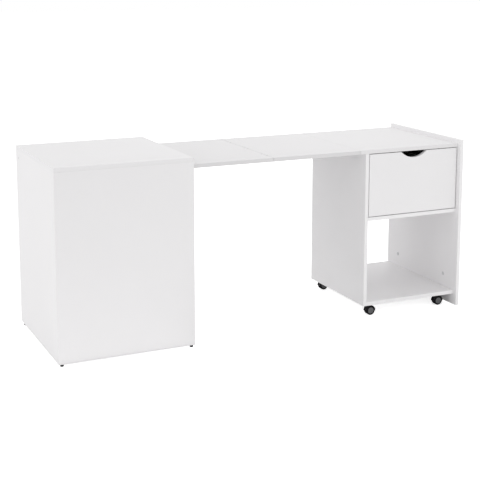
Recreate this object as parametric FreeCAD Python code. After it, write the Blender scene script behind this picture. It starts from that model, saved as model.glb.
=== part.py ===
import FreeCAD, Part
import os

# A folding desk in millimetres: an open cabinet on the left, a rolling pedestal on the right and a
# two-leaf top between them. Rolling the pedestal in folds the leaves down, and its end board then
# closes the cabinet.
# The origin is on the floor under the middle of the whole desk: +X to the pedestal, +Y to the back, +Z up.

# Boards
board = 16.0
thin_board = 12.0
drawer_bottom_thickness = 4.0
edge_round = 0.8

# Cabinet
overall_length = 1810.0
cabinet_width = 554.0
cabinet_depth = 588.0
cabinet_height = 760.0
floor_gap = 8.0
top_drop = 30.0
side_gap = 8.0
glide_radius = 7.0
glide_inset = 14.0
glide_nail_radius = 1.5
glide_nail_length = 12.0
back_glide_inset = 42.0
corner_block_depth = 10.0
corner_block_width = 24.0
corner_block_height = 44.0
corner_block_inset = 47.0
side_screw_drop = 31.0
side_screw_grip = 8.0

# Pedestal
end_board_drop = 12.0
pedestal_inner_width = 442.0
pedestal_depth = 470.0
drawer_opening_height = 272.0
drawer_gap = 3.0
shelf_corner_round = 60.0
fixing_cap_radius = 8.0
fixing_cap_thickness = 1.5
fixing_plug_radius = 5.0
fixing_plug_length = 10.0
fixing_cap_front_inset = 77.0
fixing_cap_spacing = 372.0
fixing_cap_height = 57.0

# Folding top
hinge_overhang = 25.0
leaf_overlap = 62.0
leaf_end = 12.0
seam_gap = 1.0
closing_gap = 2.0

# Hinges
hinge_count = 3
hinge_edge_inset = 60.0
hinge_length = 60.0
hinge_plate_width = 22.0
hinge_plate = 1.5
hinge_screw_inset = 8.0
knuckle_radius = 3.0
knuckle_pin_radius = 1.5
knuckle_seat = 3.2
flush_knuckle_radius = 2.0
flush_pin_radius = 1.0
flush_axis_rise = 0.3
knuckle_gap = 0.3
running_clearance = 0.05

# Slide bolts under the middle seam
bolt_edge_inset = 116.0
bolt_length = 64.0
bolt_width = 12.0
bolt_height = 5.0
bolt_travel = 24.0
bolt_setback = 3.0
bolt_knob_radius = 4.0
bolt_knob_length = 8.0
bolt_slot_clearance = 0.2
bolt_wall = 1.8
housing_setback = 6.0
housing_length = 50.0
housing_width = 26.0
keeper_length = 24.0

# Guide rails and rollers
rail_thickness = 6.5
rail_height = 18.0
rail_end_gap = 10.0
rail_screw_inset = 60.0
roller_radius = 6.0
roller_width = 5.0
roller_wall_gap = 1.0
roller_axle_radius = 2.5
running_gap = 0.3
bracket_plate = 2.0
bracket_edge = 2.0
bracket_width = 22.0
bracket_length = 32.0
bracket_lug_reach = 9.0

# Drawer
drawer_depth = 428.0
drawer_side_height = 200.0
drawer_lift = 10.0
drawer_bottom_lift = 10.0
drawer_groove = 5.0
drawer_travel = 330.0
cutout_width = 126.0
cutout_depth = 26.0
runner_space = 13.0
runner_height = 36.0
runner_wall = 1.5
runner_setback = 4.0
runner_gap = 1.0

# Casters
caster_height = 56.0
wheel_radius = 20.0
wheel_width = 9.0
wheel_round = 2.0
wheel_gap = 0.5
wheel_recess = 1.0
wheel_rim = 5.0
caster_trail = 12.0
caster_left_inset = 32.0
caster_right_inset = 62.0
caster_front_inset = 48.0
caster_back_inset = 75.0
caster_plate_size = 38.0
caster_plate = 2.0
caster_web = 7.0
hood_clearance = 0.7
hood_wall = 1.8
boss_radius = 9.0
kingpin_radius = 4.0
kingpin_length = 12.0
caster_axle_radius = 2.5
hood_skirt = 2.0
caster_screw_spacing = 28.0

# Dowels and screws
dowel_radius = 4.0
dowel_in_edge = 20.0
dowel_in_face = 10.0
dowel_inset = 60.0
screw_radius = 1.5
screw_head_radius = 3.2
screw_head_height = 1.4
screw_length = 13.0

# Places worked out from the sizes above
left = -overall_length / 2
right = overall_length / 2
front = -cabinet_depth / 2
back = cabinet_depth / 2
cabinet_right = left + cabinet_width
inner_left = left + board
inner_front = front + board
inner_back = back - board
cabinet_top_under = cabinet_height - board
desk_top = cabinet_height - top_drop
desk_under = desk_top - board
desk_front = inner_front + side_gap
desk_back = inner_back - side_gap
end_inner = right - board
end_top = cabinet_height - end_board_drop
pedestal_right = end_inner
pedestal_left_inner = end_inner - pedestal_inner_width
pedestal_left = pedestal_left_inner - board
pedestal_back = desk_front + pedestal_depth
shelf_under = caster_height
shelf_top = shelf_under + board
divider_top = desk_under - drawer_opening_height
divider_under = divider_top - board

# Axes of the fold: the hinge by the pedestal, the hinge between the leaves, the rollers at the free end
fold_x = pedestal_left - hinge_overhang
fold_z = desk_under - knuckle_seat
roller_x = cabinet_right - leaf_overlap + leaf_end
middle_x = (fold_x + roller_x) / 2
middle_z = desk_top + flush_axis_rise
rail_top = fold_z - roller_radius - running_gap
roll_travel = end_inner - cabinet_right - closing_gap

along_x = FreeCAD.Vector(1, 0, 0)
along_y = FreeCAD.Vector(0, 1, 0)
along_z = FreeCAD.Vector(0, 0, 1)


def block(x, y, z):
    """A plain box from its low and high values along each axis."""
    corner = FreeCAD.Vector(min(x), min(y), min(z))
    return Part.makeBox(abs(x[1] - x[0]), abs(y[1] - y[0]), abs(z[1] - z[0]), corner)


def panel(x, y, z, cuts=()):
    """A board with softened edges, with the given solids cut out of it."""
    shape = block(x, y, z)
    shape = shape.makeFillet(edge_round, shape.Edges)
    return drilled(shape, cuts)


def drilled(shape, cuts):
    """The shape without the solids that sit in it."""
    cuts = list(cuts)
    return shape.cut(cuts) if cuts else shape


def rod(start, direction, radius, length):
    """A round bar from a start point along a direction."""
    return Part.makeCylinder(radius, length, FreeCAD.Vector(*start), direction)


def spread(low, high, count):
    """Evenly spaced places from low to high, both ends included."""
    return [low + (high - low) * i / (count - 1) for i in range(count)]


def dowel(seat, direction):
    """A dowel across a joint, which points from the board's edge into the other board's face."""
    start = FreeCAD.Vector(*seat) - direction * dowel_in_edge
    return Part.makeCylinder(dowel_radius, dowel_in_edge + dowel_in_face, start, direction)


def screw(seat, direction, length=screw_length):
    """A countersunk screw whose head lies flush with the surface at its seat."""
    point = FreeCAD.Vector(*seat)
    head = Part.makeCone(screw_head_radius, screw_radius, screw_head_height, point, direction)
    return head.fuse(Part.makeCylinder(screw_radius, length, point, direction))


def group(solids):
    """Separate solids kept together in one node."""
    return Part.makeCompound(list(solids))


def cabinet_dowels():
    """Dowels of the cabinet's joints: into the top, and from the left side into front and back."""
    x_places = spread(left + dowel_inset, cabinet_right - dowel_inset, 3)
    y_places = spread(inner_front + dowel_inset, inner_back - dowel_inset, 3)
    z_places = spread(floor_gap + dowel_inset, cabinet_top_under - dowel_inset, 3)
    side_middle = left + board / 2
    pins = [dowel((x, front + board / 2, cabinet_top_under), along_z) for x in x_places]
    pins += [dowel((x, back - board / 2, cabinet_top_under), along_z) for x in x_places]
    pins += [dowel((side_middle, y, cabinet_top_under), along_z) for y in y_places]
    pins += [dowel((side_middle, inner_front, z), -along_y) for z in z_places]
    pins += [dowel((side_middle, inner_back, z), along_y) for z in z_places]
    return pins


def glide(x, y):
    """A small nail-in glide under a board."""
    foot = rod((x, y, 0), along_z, glide_radius, floor_gap)
    foot = foot.makeChamfer(edge_round, [e for e in foot.Edges if e.BoundBox.ZMax < floor_gap / 2])
    return foot.fuse(rod((x, y, floor_gap), along_z, glide_nail_radius, glide_nail_length))


def guide_rail(wall, inwards):
    """A straight rail on a wall's inner face, with the screws that hold it."""
    face = wall + inwards * rail_thickness
    x_low = inner_left + rail_end_gap
    x_high = cabinet_right - rail_end_gap
    bar = block((x_low, x_high), (wall, face), (rail_top - rail_height, rail_top))
    places = spread(x_low + rail_screw_inset, x_high - rail_screw_inset, 3)
    screws = [screw((x, face, rail_top - rail_height / 2), -inwards * along_y) for x in places]
    return drilled(bar, screws), screws


def cabinet():
    """The open cabinet: top, left side, front and back, with glides, corner blocks and guide rails."""
    pins = cabinet_dowels()
    glides = [
        glide(left + glide_inset, front + board / 2),
        glide(cabinet_right - glide_inset, front + board / 2),
        glide(cabinet_right - glide_inset, back - board / 2),
        glide(left + board / 2, back - back_glide_inset),
    ]
    front_rail, front_screws = guide_rail(inner_front, 1)
    back_rail, back_screws = guide_rail(inner_back, -1)
    block_z = (cabinet_top_under - corner_block_height, cabinet_top_under)
    block_x = (inner_left, inner_left + corner_block_depth)
    block_places = (front + corner_block_inset, back - corner_block_inset)
    side_screw_seat = (left, block_places[1], cabinet_top_under - side_screw_drop)
    side_screw = screw(side_screw_seat, along_x, board + side_screw_grip)
    half = corner_block_width / 2
    blocks = [drilled(block(block_x, (y - half, y + half), block_z), [side_screw]) for y in block_places]
    cuts = pins + glides + front_screws + back_screws + [side_screw]
    wall_z = (floor_gap, cabinet_top_under)
    return {
        "cabinet_top": panel((left, cabinet_right), (front, back), (cabinet_top_under, cabinet_height), cuts),
        "cabinet_left_side": panel((left, inner_left), (inner_front, inner_back), wall_z, cuts),
        "cabinet_front": panel((left, cabinet_right), (front, inner_front), wall_z, cuts),
        "cabinet_back": panel((left, cabinet_right), (inner_back, back), wall_z, cuts),
        "cabinet_dowels": group(pins),
        "cabinet_glides": group(glides),
        "corner_blocks": group(blocks),
        "side_screw": side_screw,
        "guide_rail_front": front_rail,
        "guide_rail_back": back_rail,
        "guide_rail_screws": group(front_screws + back_screws),
    }


def knuckle_spans(parity):
    """The stretches of a three-knuckle barrel that belong to one half: the outer two or the middle one."""
    pitch = hinge_length / 3
    spans = [(i * pitch + knuckle_gap / 2, (i + 1) * pitch - knuckle_gap / 2) for i in range(3)]
    return spans[::2] if parity == 0 else spans[1:2]


def hinge_half(side, plate_z, radius, bore, parity):
    """One half of a hinge about the Y axis through the origin, its plate on one side along X."""
    relief = radius + 2 * knuckle_gap
    shape = block((side * relief, side * hinge_plate_width), (0, hinge_length), plate_z)
    for low, high in knuckle_spans(parity):
        arm = block((0, side * relief), (low, high), plate_z)
        shape = shape.fuse([arm, rod((0, low, 0), along_y, radius, high - low)])
    return shape.cut(rod((0, 0, 0), along_y, bore, hinge_length)).removeSplitter()


def plate_screws(side, plate_z, direction):
    """The two screws of one hinge half, in the half's own place about the Y axis."""
    x = side * (hinge_plate_width - hinge_screw_inset)
    seat_z = plate_z[0] if direction == 1 else plate_z[1]
    places = (hinge_screw_inset, hinge_length - hinge_screw_inset)
    return [screw((x, y, seat_z), direction * along_z) for y in places]


def placed(shapes, x, y, z):
    """Copies of the shapes moved to a place."""
    return [s.translated(FreeCAD.Vector(x, y, z)) for s in shapes]


def hinge_places():
    """Where each hinge starts along Y."""
    return spread(desk_front + hinge_edge_inset, desk_back - hinge_edge_inset - hinge_length, hinge_count)


def fold_hinges():
    """The hinges under the seam beside the pedestal, whose fixed halves hold the pins."""
    plate_z = (knuckle_seat - hinge_plate, knuckle_seat)
    fixed = hinge_half(1, plate_z, knuckle_radius, knuckle_pin_radius, 0)
    moving = hinge_half(-1, plate_z, knuckle_radius, knuckle_pin_radius + running_clearance, 1)
    pin = rod((0, 0, 0), along_y, knuckle_pin_radius, hinge_length)
    sets = {"fixed": fixed, "moving": moving, "pin": pin}
    return hinge_set(sets, plate_z, 1, fold_x, fold_z)


def middle_hinges():
    """The hinges let into the top at the middle seam, whose halves on the inner leaf hold the pins."""
    plate_z = (-flush_axis_rise - hinge_plate, -flush_axis_rise)
    fixed = hinge_half(1, plate_z, flush_knuckle_radius, flush_pin_radius, 0)
    moving = hinge_half(-1, plate_z, flush_knuckle_radius, flush_pin_radius + running_clearance, 1)
    pin = rod((0, 0, 0), along_y, flush_pin_radius, hinge_length)
    sets = {"fixed": fixed, "moving": moving, "pin": pin}
    return hinge_set(sets, plate_z, -1, middle_x, middle_z)


def hinge_set(shapes, plate_z, drive, x, z):
    """All hinges of one seam: halves drilled for their screws, pins and screws, each as a list."""
    screws = {"fixed": plate_screws(1, plate_z, drive), "moving": plate_screws(-1, plate_z, drive)}
    out = {"fixed": [], "moving": [], "pin": [], "fixed_screws": [], "moving_screws": []}
    for y in hinge_places():
        for half in ("fixed", "moving"):
            out[half] += placed([drilled(shapes[half], screws[half])], x, y, z)
            out[half + "_screws"] += placed(screws[half], x, y, z)
        out["pin"] += placed([shapes["pin"]], x, y, z)
    return out


def seam_pockets(side):
    """Pockets in one leaf for the flush hinge plates, and the groove for their barrels."""
    depth = flush_axis_rise + hinge_plate
    cuts = []
    for y in hinge_places():
        span = (y, y + hinge_length)
        reach = (middle_x, middle_x + side * hinge_plate_width)
        cuts.append(block(reach, span, (middle_z - depth, middle_z)))
        start = (middle_x, y - knuckle_gap, middle_z)
        groove_radius = flush_knuckle_radius + knuckle_gap
        cuts.append(rod(start, along_y, groove_radius, hinge_length + 2 * knuckle_gap))
    return cuts


def bolt_places():
    """Where the slide bolts lie along Y."""
    return {"front": desk_front + bolt_edge_inset, "back": desk_back - bolt_edge_inset}


def bolt_sleeve(x, y):
    """A sleeve under a leaf in which a bolt slides."""
    depth = 2 * bolt_wall + bolt_height + 2 * bolt_slot_clearance
    sleeve = block(x, (y - housing_width / 2, y + housing_width / 2), (desk_under - depth, desk_under))
    half = bolt_width / 2 + bolt_slot_clearance
    slot_top = desk_under - bolt_wall
    slot_low = slot_top - bolt_height - 2 * bolt_slot_clearance
    return sleeve.cut(block(x, (y - half, y + half), (slot_low, slot_top)))


def bolt_knob_x():
    """The middle of a drawn-back bolt's knob along X."""
    return middle_x + housing_setback + housing_length / 2 + bolt_travel / 2


def bolt_housing(y):
    """The sleeve on the inner leaf, slotted below for the bolt's knob."""
    x_low = middle_x + housing_setback
    sleeve = bolt_sleeve((x_low, x_low + housing_length), y)
    half = bolt_knob_radius + bolt_slot_clearance
    knob_x = (bolt_knob_x() - bolt_travel - half, bolt_knob_x() + half)
    depth = 2 * bolt_wall + bolt_height
    return sleeve.cut(block(knob_x, (y - half, y + half), (desk_under - 2 * depth, desk_under - bolt_wall)))


def slide_bolt(y):
    """A flat bolt, drawn back clear of the seam, with its knob below."""
    x_low = middle_x + bolt_setback
    top = desk_under - bolt_wall - bolt_slot_clearance
    half = bolt_width / 2
    bar = block((x_low, x_low + bolt_length), (y - half, y + half), (top - bolt_height, top))
    knob_low = top - bolt_height - bolt_knob_length
    knob = rod((bolt_knob_x(), y, knob_low), along_z, bolt_knob_radius, bolt_knob_length)
    return bar.fuse(knob)


def bolt_keeper(y):
    """The sleeve on the outer leaf that takes the pushed-out bolt."""
    x_high = middle_x - housing_setback
    return bolt_sleeve((x_high - keeper_length, x_high), y)


def roller_parts(wall, inwards):
    """The bracket under the outer leaf's end and the roller on its stud, beside one wall."""
    edge = wall + inwards * side_gap
    foot_y = (edge + inwards * bracket_edge, edge + inwards * (bracket_edge + bracket_width))
    foot_x = (roller_x - bracket_lug_reach, roller_x - bracket_lug_reach + bracket_length)
    foot = block(foot_x, foot_y, (desk_under - bracket_plate, desk_under))
    lug_x = (roller_x - bracket_lug_reach, roller_x + bracket_lug_reach)
    lug_y = (foot_y[0], foot_y[0] + inwards * bracket_plate)
    lug = block(lug_x, lug_y, (fold_z - bracket_lug_reach, desk_under))
    roller_face = wall + inwards * roller_wall_gap
    stud_start = roller_face - inwards * running_gap
    stud_length = abs(lug_y[1] - stud_start)
    stud = rod((roller_x, stud_start, fold_z), inwards * along_y, roller_axle_radius, stud_length)
    bracket = foot.fuse([lug, stud]).removeSplitter()
    bore_radius = roller_axle_radius + running_clearance
    face_centre = (roller_x, roller_face, fold_z)
    roller = rod(face_centre, inwards * along_y, roller_radius, roller_width)
    return bracket, roller.cut(rod(face_centre, inwards * along_y, bore_radius, roller_width))


def folding_top():
    """Both leaves with everything that is fixed to them, and the bolts and rollers that move on them."""
    middle = middle_hinges()
    fold = fold_hinges()
    walls = {"front": (inner_front, 1), "back": (inner_back, -1)}
    rollers = {name: roller_parts(*wall) for name, wall in walls.items()}
    inner_cuts = seam_pockets(1) + fold["moving_screws"] + middle["fixed_screws"]
    outer_cuts = seam_pockets(-1) + middle["moving_screws"]
    leaf_y = (desk_front, desk_back)
    leaf_z = (desk_under, desk_top)
    half_seam = seam_gap / 2
    nodes = {
        "inner_leaf": panel((middle_x + half_seam, fold_x - half_seam), leaf_y, leaf_z, inner_cuts),
        "outer_leaf": panel((roller_x - leaf_end, middle_x - half_seam), leaf_y, leaf_z, outer_cuts),
        "fold_hinge_moving_halves": group(fold["moving"]),
        "fold_hinge_fixed_halves": group(fold["fixed"]),
        "fold_hinge_pins": group(fold["pin"]),
        "fold_hinge_screws": group(fold["fixed_screws"]),
        "middle_hinge_inner_halves": group(middle["fixed"]),
        "middle_hinge_outer_halves": group(middle["moving"]),
        "middle_hinge_pins": group(middle["pin"]),
        "inner_leaf_screws": group(fold["moving_screws"] + middle["fixed_screws"]),
        "outer_leaf_screws": group(middle["moving_screws"]),
        "bolt_housings": group(bolt_housing(y) for y in bolt_places().values()),
        "bolt_keepers": group(bolt_keeper(y) for y in bolt_places().values()),
        "roller_brackets": group(rollers[name][0] for name in walls),
    }
    for name, y in bolt_places().items():
        nodes["slide_bolt_" + name] = slide_bolt(y)
        nodes["guide_roller_" + name] = rollers[name][1]
    fixed_top_cuts = fold["fixed_screws"]
    return nodes, fixed_top_cuts


def pedestal_dowels():
    """Dowels of the pedestal's joints."""
    caster_room = 2 * caster_plate_size
    y_low = desk_front + caster_front_inset + caster_room
    y_places = spread(y_low, desk_back - caster_back_inset - caster_room, 3)
    pins = [dowel((pedestal_left + board / 2, y, desk_under), along_z) for y in y_places]
    for middle in (shelf_under + board / 2, divider_under + board / 2):
        pins += [dowel((pedestal_left_inner, y, middle), -along_x) for y in y_places]
        pins += [dowel((end_inner, y, middle), along_x) for y in y_places]
    pins += [dowel((end_inner, y, desk_under + board / 2), along_x) for y in y_places]
    for z in (divider_top + dowel_inset, desk_under - dowel_inset):
        pins.append(dowel((pedestal_left_inner, pedestal_back - board / 2, z), -along_x))
        pins.append(dowel((end_inner, pedestal_back - board / 2, z), along_x))
    return pins


def fixing_cap(y):
    """A round cap on the end board's inner face, with its plug in the board."""
    seat = (end_inner, y, shelf_top + fixing_cap_height)
    cap = rod(seat, -along_x, fixing_cap_radius, fixing_cap_thickness)
    return cap.fuse(rod(seat, along_x, fixing_plug_radius, fixing_plug_length))


def runner_members(wall, inwards):
    """A drawer runner: the channel on the pedestal's wall and the member on the drawer's side."""
    middle = divider_top + drawer_lift + drawer_side_height / 2
    y = (desk_front + board + runner_setback, desk_front + board + drawer_depth)
    reach = runner_space - runner_wall - runner_gap

    def channel(web, towards, height):
        """A channel with its web on one face and its flanges pointing the other way."""
        z = (middle - height / 2, middle + height / 2)
        outer = block((web, web + towards * reach), y, z)
        hollow = block(
            (web + towards * runner_wall, web + towards * reach), y, (z[0] + runner_wall, z[1] - runner_wall)
        )
        return outer.cut(hollow)

    fixed = channel(wall, inwards, runner_height)
    inner_height = runner_height - 2 * runner_wall - 2 * running_gap
    return fixed, channel(wall + inwards * runner_space, -inwards, inner_height)


def runner_pairs():
    """The left and right drawer runners."""
    return [runner_members(pedestal_left_inner, 1), runner_members(end_inner, -1)]


def bottom_shelf(cuts):
    """The bottom shelf, rounded at the free corner that reaches past the pedestal's side."""
    shelf = block((pedestal_left_inner, end_inner), (desk_front, desk_back), (shelf_under, shelf_top))
    low_x = pedestal_left_inner + edge_round
    high_y = desk_back - edge_round
    corner = [e for e in shelf.Edges if e.CenterOfMass.x < low_x and e.CenterOfMass.y > high_y]
    shelf = shelf.makeFillet(shelf_corner_round, corner)
    return drilled(shelf.makeFillet(edge_round, shelf.Edges), cuts)


def pedestal(fixed_top_cuts, caster_screws):
    """The rolling pedestal's boards with dowels, caps and drawer runners."""
    pins = pedestal_dowels()
    first_cap = desk_front + fixing_cap_front_inset
    caps = [fixing_cap(y) for y in (first_cap, first_cap + fixing_cap_spacing)]
    cuts = pins + caps + caster_screws
    carcass_y = (desk_front, pedestal_back)
    inside_x = (pedestal_left_inner, end_inner)
    end_y = (front, desk_back)
    side_z = (shelf_under, desk_under)
    top_x = (fold_x + seam_gap / 2, end_inner)
    top_z = (desk_under, desk_top)
    back_y = (pedestal_back - board, pedestal_back)
    return {
        "end_board": panel((end_inner, right), end_y, (floor_gap, end_top), cuts),
        "pedestal_side": panel((pedestal_left, pedestal_left_inner), carcass_y, side_z, cuts),
        "fixed_top": panel(top_x, (desk_front, desk_back), top_z, pins + fixed_top_cuts),
        "bottom_shelf": bottom_shelf(cuts),
        "drawer_divider": panel(inside_x, carcass_y, (divider_under, divider_top), cuts),
        "pedestal_back_board": panel(inside_x, back_y, (divider_top, desk_under), cuts),
        "pedestal_dowels": group(pins),
        "fixing_caps": group(caps),
        "drawer_runners": group(fixed for fixed, moving in runner_pairs()),
    }


def drawer_front(bottom):
    """The inset drawer front with its half-moon finger cut-out."""
    low = divider_top + drawer_gap
    high = desk_under - drawer_gap
    x = (pedestal_left_inner + drawer_gap, end_inner - drawer_gap)
    plate = block(x, (desk_front, desk_front + board), (low, high))
    cut_radius = (cutout_width ** 2 / 4 + cutout_depth ** 2) / (2 * cutout_depth)
    centre = (sum(x) / 2, desk_front, high - cutout_depth + cut_radius)
    plate = plate.cut(rod(centre, along_y, cut_radius, board))
    return plate.makeFillet(edge_round, plate.Edges).cut(bottom)


def drawer():
    """The drawer: front, sides, back and bottom, with the runners' moving members."""
    outer_x = (pedestal_left_inner + runner_space, end_inner - runner_space)
    inner_x = (outer_x[0] + thin_board, outer_x[1] - thin_board)
    y = (desk_front + board, desk_front + board + drawer_depth)
    z_low = divider_top + drawer_lift
    z = (z_low, z_low + drawer_side_height)
    bottom_z = (z_low + drawer_bottom_lift, z_low + drawer_bottom_lift + drawer_bottom_thickness)
    inner_y = (y[0], y[1] - thin_board)
    bottom = block(
        (inner_x[0] - drawer_groove, inner_x[1] + drawer_groove),
        (inner_y[0] - drawer_groove, inner_y[1] + drawer_groove),
        bottom_z,
    )
    return {
        "drawer_front": drawer_front(bottom),
        "drawer_side_left": panel((outer_x[0], inner_x[0]), y, z, [bottom]),
        "drawer_side_right": panel((inner_x[1], outer_x[1]), y, z, [bottom]),
        "drawer_back": panel(inner_x, (inner_y[1], y[1]), z, [bottom]),
        "drawer_bottom": bottom,
        "drawer_slides": group(moving for fixed, moving in runner_pairs()),
    }


def caster_places():
    """The casters' swivel axes on the bottom shelf."""
    x_left = pedestal_left_inner + caster_left_inset
    x_right = end_inner - caster_right_inset
    y_front = desk_front + caster_front_inset
    y_back = desk_back - caster_back_inset
    return {
        "front_left": (x_left, y_front),
        "front_right": (x_right, y_front),
        "back_left": (x_left, y_back),
        "back_right": (x_right, y_back),
    }


def caster_wheels(x, y):
    """The two wheels of a caster, each with a shallow recess in its outer face."""
    wheels = []
    for side in (-1, 1):
        inner = y + side * (caster_web / 2 + wheel_gap)
        wheel = rod((x, inner, wheel_radius), side * along_y, wheel_radius, wheel_width)
        wheel = wheel.makeFillet(wheel_round, [e for e in wheel.Edges if e.Length > 2 * wheel_radius])
        face = inner + side * (wheel_width - wheel_recess)
        bore_radius = caster_axle_radius + running_clearance
        cuts = [
            rod((x, face, wheel_radius), side * along_y, wheel_radius - wheel_rim, wheel_recess),
            rod((x, inner, wheel_radius), side * along_y, bore_radius, wheel_width),
        ]
        wheels.append(wheel.cut(cuts))
    return wheels


def caster_hood(x, y):
    """The swivelling hood: a fender over both wheels, a web between them and a boss for the kingpin."""
    axle_x = x + caster_trail
    half = caster_web / 2 + wheel_gap + wheel_width
    inner_radius = wheel_radius + hood_clearance
    outer_radius = inner_radius + hood_wall
    fender = rod((axle_x, y - half, wheel_radius), along_y, outer_radius, 2 * half)
    boss_top = caster_height - caster_plate - running_gap
    boss = rod((x, y, wheel_radius), along_z, boss_radius, boss_top - wheel_radius)
    hood = fender.fuse(boss)
    reach = 2 * outer_radius
    skirt_z = wheel_radius - hood_skirt
    cuts = [block((axle_x - reach, axle_x + reach), (y - reach, y + reach), (-reach, skirt_z))]
    web_half = caster_web / 2
    for side in (-1, 1):
        start = (axle_x, y + side * web_half, wheel_radius)
        cuts.append(rod(start, side * along_y, inner_radius, half))
    pin_low = caster_height - caster_plate - kingpin_length - running_gap
    cuts.append(rod((x, y, pin_low), along_z, kingpin_radius + running_clearance, caster_height))
    cuts.append(rod((axle_x, y - half, wheel_radius), along_y, caster_axle_radius, 2 * half))
    return hood.cut(cuts).removeSplitter()


def caster_axle(x, y):
    """The axle held in the hood's web."""
    half = caster_web / 2 + wheel_gap + wheel_width - wheel_recess
    return rod((x + caster_trail, y - half, wheel_radius), along_y, caster_axle_radius, 2 * half)


def caster_plate_and_screws(x, y):
    """The plate under the shelf with its kingpin, and its four screws."""
    half = caster_plate_size / 2
    low = caster_height - caster_plate
    plate = block((x - half, x + half), (y - half, y + half), (low, caster_height))
    pin = rod((x, y, low - kingpin_length), along_z, kingpin_radius, kingpin_length)
    step = caster_screw_spacing / 2
    screws = [screw((x + i * step, y + j * step, low), along_z) for i in (-1, 1) for j in (-1, 1)]
    return drilled(plate.fuse(pin), screws), screws


def casters():
    """Four twin-wheel casters and the screws that hold their plates."""
    nodes = {}
    plates = []
    screws = []
    for name, place in caster_places().items():
        plate, plate_fixings = caster_plate_and_screws(*place)
        plates.append(plate)
        screws += plate_fixings
        nodes["caster_hood_" + name] = caster_hood(*place)
        nodes["caster_axle_" + name] = caster_axle(*place)
        nodes["caster_wheels_" + name] = group(caster_wheels(place[0] + caster_trail, place[1]))
    nodes["caster_plates"] = group(plates)
    nodes["caster_screws"] = group(screws)
    return nodes, screws


def desk():
    """Every piece of the desk by its node name."""
    nodes = cabinet()
    top_nodes, fixed_top_cuts = folding_top()
    caster_nodes, caster_screws = casters()
    nodes.update(top_nodes)
    nodes.update(pedestal(fixed_top_cuts, caster_screws))
    nodes.update(drawer())
    nodes.update(caster_nodes)
    return nodes


os.makedirs("parts", exist_ok=True)
for node_name, node_shape in desk().items():
    node_shape.exportStep("parts/" + node_name + ".step")
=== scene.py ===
"""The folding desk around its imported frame: small fittings modelled in detail, finishes, studio and camera."""

import logging
import math
from contextlib import contextmanager
from dataclasses import dataclass, replace
from enum import Enum
from functools import cache
from typing import Callable, Iterator

import bmesh
import bpy
from mathutils import Matrix, Vector


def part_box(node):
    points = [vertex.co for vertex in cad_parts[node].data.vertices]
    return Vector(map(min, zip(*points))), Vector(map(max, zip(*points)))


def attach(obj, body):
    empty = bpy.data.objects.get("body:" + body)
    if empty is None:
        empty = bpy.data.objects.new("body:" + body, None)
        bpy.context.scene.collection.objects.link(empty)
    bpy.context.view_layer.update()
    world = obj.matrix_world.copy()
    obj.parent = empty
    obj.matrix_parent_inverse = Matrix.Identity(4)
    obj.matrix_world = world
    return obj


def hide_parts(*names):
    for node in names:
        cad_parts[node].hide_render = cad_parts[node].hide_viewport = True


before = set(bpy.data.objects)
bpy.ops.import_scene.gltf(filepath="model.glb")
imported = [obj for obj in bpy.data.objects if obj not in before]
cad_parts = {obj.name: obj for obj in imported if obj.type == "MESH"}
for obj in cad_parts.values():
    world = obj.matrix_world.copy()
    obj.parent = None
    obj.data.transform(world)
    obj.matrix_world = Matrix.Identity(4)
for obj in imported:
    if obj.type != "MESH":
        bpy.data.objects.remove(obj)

log = logging.getLogger("folding_desk")
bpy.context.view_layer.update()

Object = bpy.types.Object
Material = bpy.types.Material
Tree = bpy.types.NodeTree
Node = bpy.types.Node
Socket = bpy.types.NodeSocket
Face = bmesh.types.BMFace
Pair = tuple[float, float]
Triple = tuple[float, float, float]

MM: float = 0.001
NEAR: float = 0.1 * MM  # a point this close to a plane counts as on it
SAME_PLACE: float = 1e-6  # points this close are one
SMOOTH_ANGLE: float = math.radians(32.0)  # faces that meet at more than this keep a sharp edge
END_CORNERS: int = 8  # only the end faces of turned pieces have more corners
END_FACING: float = 0.99  # least cosine between an end face and the way it looks
UNIT: Pair = (0.0, 1.0)
UP, DOWN = Vector((0, 0, 1)), Vector((0, 0, -1))
LEFT, RIGHT = Vector((-1, 0, 0)), Vector((1, 0, 0))
FORWARDS, BACKWARDS = Vector((0, -1, 0)), Vector((0, 1, 0))


class Axis(Enum):
    """A frame axis that a turned piece lies along."""

    X = (0.0, math.pi / 2, 0.0)
    Y = (math.pi / 2, 0.0, 0.0)
    Z = (0.0, 0.0, 0.0)


class Corner(Enum):
    """The pedestal's four caster places."""

    FRONT_LEFT = "front_left"
    FRONT_RIGHT = "front_right"
    BACK_LEFT = "back_left"
    BACK_RIGHT = "back_right"


class Side(Enum):
    """The front and back ends of the folding top."""

    FRONT = "front"
    BACK = "back"


# Modelling by operators


def select_only(obj: Object) -> None:
    """Makes one object the only selected and active one.

    Args:
        obj: The object to work on.
    """
    bpy.ops.object.select_all(action="DESELECT")
    obj.select_set(True)
    bpy.context.view_layer.objects.active = obj


def settle(obj: Object, name: str) -> Object:
    """Names a new primitive and moves its place into its mesh.

    Args:
        obj: The fresh primitive.
        name: The piece's name.

    Returns:
        The same object, at the origin and unturned.
    """
    obj.name = name
    obj.data.name = name
    select_only(obj)
    bpy.ops.object.transform_apply(location=True, rotation=True, scale=True)
    return obj


def turned(name: str, radius: float, length: float, centre: Vector, axis: Axis, sides: int = 64) -> Object:
    """Adds a cylinder as the start of a turned piece.

    Args:
        name: The piece's name.
        radius: Outer radius in metres.
        length: Length along the axis in metres.
        centre: Middle of the cylinder in the frame.
        axis: The axis it lies along.
        sides: Number of side faces.

    Returns:
        The new object.
    """
    bpy.ops.object.select_all(action="DESELECT")
    bpy.ops.mesh.primitive_cylinder_add(
        vertices=sides, radius=radius, depth=length, location=centre, rotation=axis.value
    )
    return settle(bpy.context.object, name)


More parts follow.
